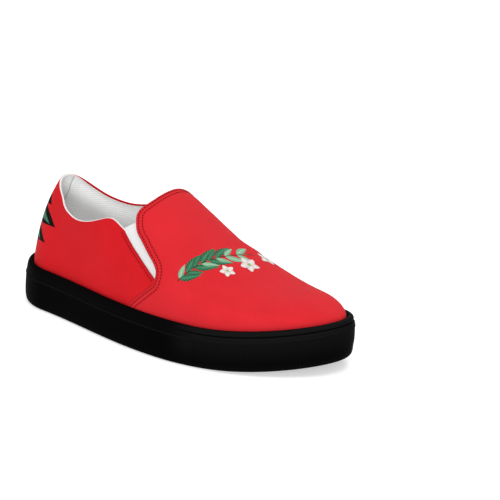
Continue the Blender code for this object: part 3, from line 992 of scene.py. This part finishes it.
def build_sole(material):
    """Cup sole: rim, shaped side and the step to the recess underneath."""
    count = 720
    turns = np.arange(count) * 2.0 / count
    station = plan(turns)[:, 0] / LENGTH
    toe = smooth((station - BUMPER_START) / (BUMPER_END - BUMPER_START))
    rings, levels = [], []

    def add_ring(inset, share, rise=0.0, level=2.0):
        flat = outline(turns, np.broadcast_to(inset, count))
        low, high = bottom_z(flat[:, 0]), rim_z(flat[:, 0])
        rings.append(np.column_stack([flat, low + share * (high - low) + rise]) - MIDDLE)
        levels.append(np.full(count, level))

    add_ring(RIM_WIDTH, 1.0, -CUP_DEPTH)
    add_ring(RIM_WIDTH, 1.0, -0.0007)
    add_ring(RIM_WIDTH - 0.0006, 1.0, -0.0001)
    for share, heel_out, toe_out in zip(*along(SOLE_SIDE, shares(121))):
        add_ring(-RIM_WIDTH * (heel_out + (toe_out - heel_out) * toe), share, 0.0, share)
    for inset, rise in UNDERSIDE_STEPS:
        add_ring(inset, 0.0, rise)
    points = np.concatenate(rings)
    index = np.arange(len(points)).reshape(len(rings), count)
    faces = quads(closed(index).T)[:, ::-1].tolist() + ladder(index[0], False) + ladder(index[-1], True)
    uv = np.stack([np.tile(lengths(plan(turns), 0), len(rings)), points[:, 2]], -1)
    level = np.concatenate(levels)
    at_bumper = np.tile(smooth((station - 0.69) / 0.03), len(rings))
    hatch = at_bumper * smooth((level - 0.10) / 0.06) * smooth((0.76 - level) / 0.03)
    # Painted light on the side: a painted highlight on the thin rib at heel and waist, and round the toe a
    # painted highlight growing up towards the shoulder, with painted shade in the grooves
    line = 0.7 * bump((level - 0.714) / 0.018) + 0.10 * smooth((level - 0.70) / 0.03)
    shoulder_highlight = 0.16 + 0.56 * smooth((level - 0.15) / 0.55)
    groove_shade = bump((level - 0.872) / 0.022) + 0.35 * bump((level - 0.79) / 0.03)
    toe = np.tile(toe, len(rings))
    worn = line * (1.0 - toe) + (shoulder_highlight * (1.0 - groove_shade).clip(0.0, 1.0)) * toe
    make_piece("cup_sole", points, faces, uv, material, "sole_rubber", ("outsole",),
               hatch=hatch, worn=worn * (level <= 1.0))


def lug(x, y):
    """Small six-sided lug: its points, faces and flat coordinates."""
    angle = np.arange(6) * np.pi / 3
    rings = [
        np.stack([x + size * np.sin(angle), y + size * np.cos(angle), np.full(6, rise)], -1)
        for size, rise in LUG_RINGS
    ]
    points = np.concatenate(rings)
    points[:, 2] += bottom_z(points[:, 0])
    points -= MIDDLE
    index = np.arange(len(points)).reshape(-1, 6)
    faces = quads(closed(index)).tolist() + [index[-1].tolist(), index[0, ::-1].tolist()]
    return points, faces, points[:, :2]


def build_tread(material):
    """Staggered rows of lugs in the recess of the underside."""
    border = outline(np.linspace(-1.0, 1.0, 721), np.full(721, UNDERSIDE_STEPS[-1][0]))
    lugs = []
    for row, y in enumerate(np.arange(-0.060, 0.062, LUG_PITCH * 0.866)):
        for x in np.arange(0.0, LENGTH, LUG_PITCH) + (0.0 if row % 2 else LUG_PITCH / 2):
            clear = np.hypot(border[:, 0] - x, border[:, 1] - y).min() > LUG_RADIUS + LUG_MARGIN
            beside = border[np.abs(border[:, 0] - x) < 0.003, 1]
            if clear and len(beside) > 1 and beside.min() < y < beside.max():
                lugs.append(lug(x, y))
    points, faces, uv = joined(lugs)
    plain = np.zeros(len(points))
    item = make_piece("tread_lugs", points, faces, uv, material, "sole_rubber", hatch=plain, worn=plain)
    item.data.set_sharp_from_angle(angle=np.radians(40.0))


def build_insole(material):
    """Footbed with a shallow heel cup and a rounded edge."""
    turns = np.linspace(0.012, 0.988, 150)
    share = shares(40)[:, None]
    inset = np.full(len(turns), RIM_WIDTH + WALL + 2 * CURVED_CLEARANCE + FOOTBED_SHEET / 2)
    right, left = outline(-turns, inset)[None], outline(turns, inset)[None]
    flat = right * (1 - share[..., None]) + left * share[..., None]
    x = flat[..., 0]
    edge = np.abs(2 * share - 1) ** 3
    end = smooth((x - 0.004) / 0.05)
    cup = 0.0022 * edge * (1.0 - smooth((x / LENGTH - 0.25) / 0.2)) + 0.0014 * (1 - end) ** 2
    z = rim_z(x) - CUP_DEPTH + CLEARANCE + INSOLE_THICKNESS + cup
    points = np.concatenate([flat, z[..., None]], -1) - MIDDLE
    uv = points[..., :2].reshape(-1, 2)
    sheet_piece("footbed", points, -FOOTBED_SHEET, 0.0, uv, material, "insole_textile", "insole")


# Print


def ink(lift, step, layer):
    """Outside of a canvas under a layer of print."""
    return lambda turn, height: lift(turn, height) + INK_GAP + step * layer


def vamp_ink(layer):
    return ink(vamp_lift, INK_STEP, layer)


def inked(turn, height, lift):
    """Points of a print at turns and heights on the upper."""
    at, _, _, normal = last_frame(turn, height)
    return at + normal * lift(turn, height)[..., None]


def petal(base, heading, length, width, lift, bend=0.0, blunt=0.0):
    """Leaf or petal from a base point: its points and shares of its length and width."""
    t = shares(17)
    side = np.linspace(-1.0, 1.0, 9)
    half = width / 2 * np.sin(np.pi * t ** (0.8 - 0.25 * blunt)) ** (1.0 - 0.45 * blunt)
    half = np.maximum(half, 0.00012)
    across_it = half[:, None] * side[None, :] + (bend * length * np.square(t))[:, None]
    along_it = np.broadcast_to((t * length)[:, None], across_it.shape)
    _, _, _, normal = last_frame(*base)
    first = unit(heading - normal * (heading @ normal))
    shift = along_it[..., None] * first + across_it[..., None] * np.cross(normal, first)
    turn, height = [np.full(across_it.shape, float(value)) for value in base]
    points = inked(*moved(turn, height, shift), lift)
    return points, *np.broadcast_arrays(t[:, None], side[None])


def ink_piece(name, shapes, material):
    """Joins thin printed shapes into one piece."""
    parts = []
    for grid, out, across in shapes:
        index = np.arange(out.size).reshape(out.shape)
        columns = np.stack([lengths(grid, 0), lengths(grid, 1), across, out], -1)
        parts.append((grid.reshape(-1, 3), quads(index.T), columns.reshape(-1, 4)))
    points, faces, columns = joined(parts)
    make_piece(name, points, faces, columns[:, :2], material, "canvas",
               across=columns[:, 2], out=columns[:, 3])


def stem_point(t):
    return -float(turn_of(curve(STEM, t))), float(curve(STEM, t, 2))


def stem_heading(t):
    ahead, behind = last(*stem_point(min(t + 0.02, 1.0))), last(*stem_point(max(t - 0.02, 0.0)))
    return unit(ahead - behind)


def swung(base, heading, degrees):
    """Heading turned about the surface's normal."""
    _, _, _, normal = last_frame(*base)
    angle = np.radians(degrees)
    return heading * np.cos(angle) + np.cross(normal, heading) * np.sin(angle)


def stem_strip():
    """Narrow strip along the stem, shaped as a leaf's edge."""
    t = shares(50)
    turn, height = -turn_of(curve(STEM, t)), curve(STEM, t, 2)
    _, _, _, normal = last_frame(turn, height)
    sideways = unit(np.cross(normal, np.gradient(last(turn, height), axis=0)))
    lines = [inked(*moved(turn, height, sideways * shift), vamp_ink(1)) for shift in (-0.0004, 0.0, 0.0004)]
    return np.stack(lines, 1), *np.broadcast_arrays(t[:, None], np.ones(3))


def build_leaf_spray(green, pale, white, core):
    """Spray of leaves that rises over the vamp to three blossoms."""
    dark_leaves, pale_leaves, blossoms, cores = [], [], [], []
    for k, t in enumerate(np.linspace(0.04, 0.86, 8)):
        base, heading = stem_point(t), stem_heading(t)
        size = 0.0125 + 0.0045 * np.sin(np.pi * (0.15 + 0.75 * t))
        side = 1.0 if k % 2 else -1.0
        for swing, scale, width, bend, dark in LEAVES:
            turned = swung(base, heading, swing * side)
            leaf = petal(base, turned, scale * size, width, vamp_ink(0), bend * side)
            (dark_leaves if k in dark else pale_leaves).append(leaf)
    dark_leaves.append(stem_strip())
    for station, height, size, spin in BLOSSOMS:
        base = (-float(turn_of(station)), height)
        for k in range(5):
            heading = swung(base, np.array([1.0, 0.0, 0.2]), spin + 72.0 * k)
            blossoms.append(petal(base, heading, size, size * 0.80, vamp_ink(2), 0.0, 1.0))
            cores.append(petal(base, heading, size * 0.26, size * 0.16, vamp_ink(3), 0.0, 0.5))
    ink_piece("print_leaves", dark_leaves, green)
    ink_piece("print_leaves_pale", pale_leaves, pale)
    ink_piece("print_blossoms", blossoms, white)
    ink_piece("print_blossom_cores", cores, core)


def heel_shape(height, reach, width, layer):
    """Shape wrapped round the heel, with a drooping point towards the toe on each side."""
    turns = np.linspace(-0.3, 0.3, 241)
    run = lengths(last(turns, height), 0)
    t = np.linspace(-1.0, 1.0, 49)
    side = np.linspace(-1.0, 1.0, 9)
    share_per_metre = 12.0
    half = np.maximum(width / 2 * (1.0 - np.abs(t) ** 1.5), 0.0001) * share_per_metre
    high = (height - 0.045 * np.square(t))[:, None] - half[:, None] * side[None, :]
    turn = np.interp(t * reach, run - run[len(run) // 2], turns)
    turn = np.broadcast_to(turn[:, None], high.shape)
    points = inked(turn, high, ink(quarter_lift, HEEL_INK_STEP, layer))
    return points, *np.broadcast_arrays((t[:, None] + 1) / 2, side[None])


def build_heel_motif(green, black):
    """Column of dark-edged pointed shapes round the back of the heel."""
    edges, fills = [], []
    for height, reach, width in HEEL_SHAPES:
        edges.append(heel_shape(height, reach, width, 0))
        fills.append(heel_shape(height, reach - 0.009, width * 0.52, 1))
    ink_piece("print_heel_edges", edges, black)
    ink_piece("print_heel_leaves", fills, green)


# Stage


def show(name, data):
    item = bpy.data.objects.new(name, data)
    bpy.context.scene.collection.objects.link(item)
    return item


def build_floor(material):
    mesh = bpy.data.meshes.new("floor")
    far = FLOOR_SIZE
    mesh.from_pydata([(-far, -far, 0), (far, -far, 0), (far, far, 0), (-far, far, 0)], [], [(0, 1, 2, 3)])
    mesh.materials.append(material)
    show("floor", mesh)


def build_lights():
    """Even white surroundings and three soft round lamps."""
    world = bpy.data.worlds.new("soft_studio")
    world.use_nodes = True
    sky = world.node_tree.nodes["Background"]
    set_inputs(world.node_tree, sky, {"Color": WHITE, "Strength": SKY_STRENGTH})
    bpy.context.scene.world = world
    for name, place, aim, size, power in LIGHTS:
        data = bpy.data.lights.new(name, "AREA")
        data.shape = "DISK"
        data.size = size
        data.energy = power
        item = show(name, data)
        item.location = place
        item.rotation_mode = "QUATERNION"
        item.rotation_quaternion = (Vector(aim) - Vector(place)).to_track_quat("-Z", "Y")


def build_camera():
    """Three-quarter view from the outer front."""
    azimuth, elevation, roll = np.radians(CAMERA_ANGLES)
    level = np.cos(elevation)
    back = np.array([np.sin(azimuth) * level, -np.cos(azimuth) * level, np.sin(elevation)])
    right = np.array([np.cos(azimuth), np.sin(azimuth), 0.0])
    up = np.cross(back, right)
    right, up = right * np.cos(roll) + up * np.sin(roll), up * np.cos(roll) - right * np.sin(roll)
    eye = np.array(CAMERA_AIM) + back * CAMERA_DISTANCE - MIDDLE
    eye = eye + right * CAMERA_SHIFT[0] + up * CAMERA_SHIFT[1]
    data = bpy.data.cameras.new("camera")
    data.lens = CAMERA_LENS
    data.sensor_width = 36.0
    data.clip_start = 0.05
    data.clip_end = 50.0
    item = show("camera", data)
    item.matrix_world = Matrix([(*row, 0.0) for row in (right, up, back)] + [(*eye, 1.0)]).transposed()
    bpy.context.scene.camera = item


bpy.context.scene.view_settings.view_transform = "Standard"
build_camera()
build_lights()
build_floor(make_floor_material())

RUBBER = make_rubber()
ELASTIC = make_elastic()
LEAF = make_print("print_green", *LEAF_GREEN)
build_quarters(make_canvas("canvas_quarters", *QUARTER_RED))
# The vamp's canvas carries a painted sheen in its colour
build_vamp(make_canvas("canvas_vamp", *VAMP_RED_PAINTED_SHEEN))
build_linings(make_lining())
build_binding(make_binding())
build_gore("outer", OUTER, ELASTIC)
build_gore("inner", INNER, ELASTIC)
build_stitches(make_thread())
build_sole(RUBBER)
build_tread(RUBBER)
build_insole(make_insole())
build_leaf_spray(
    LEAF,
    make_print("print_green_pale", *PALE_GREEN),
    make_print("print_white", *PETAL_WHITE),
    make_print("print_core", *CORE_YELLOW),
)
build_heel_motif(LEAF, make_ink())
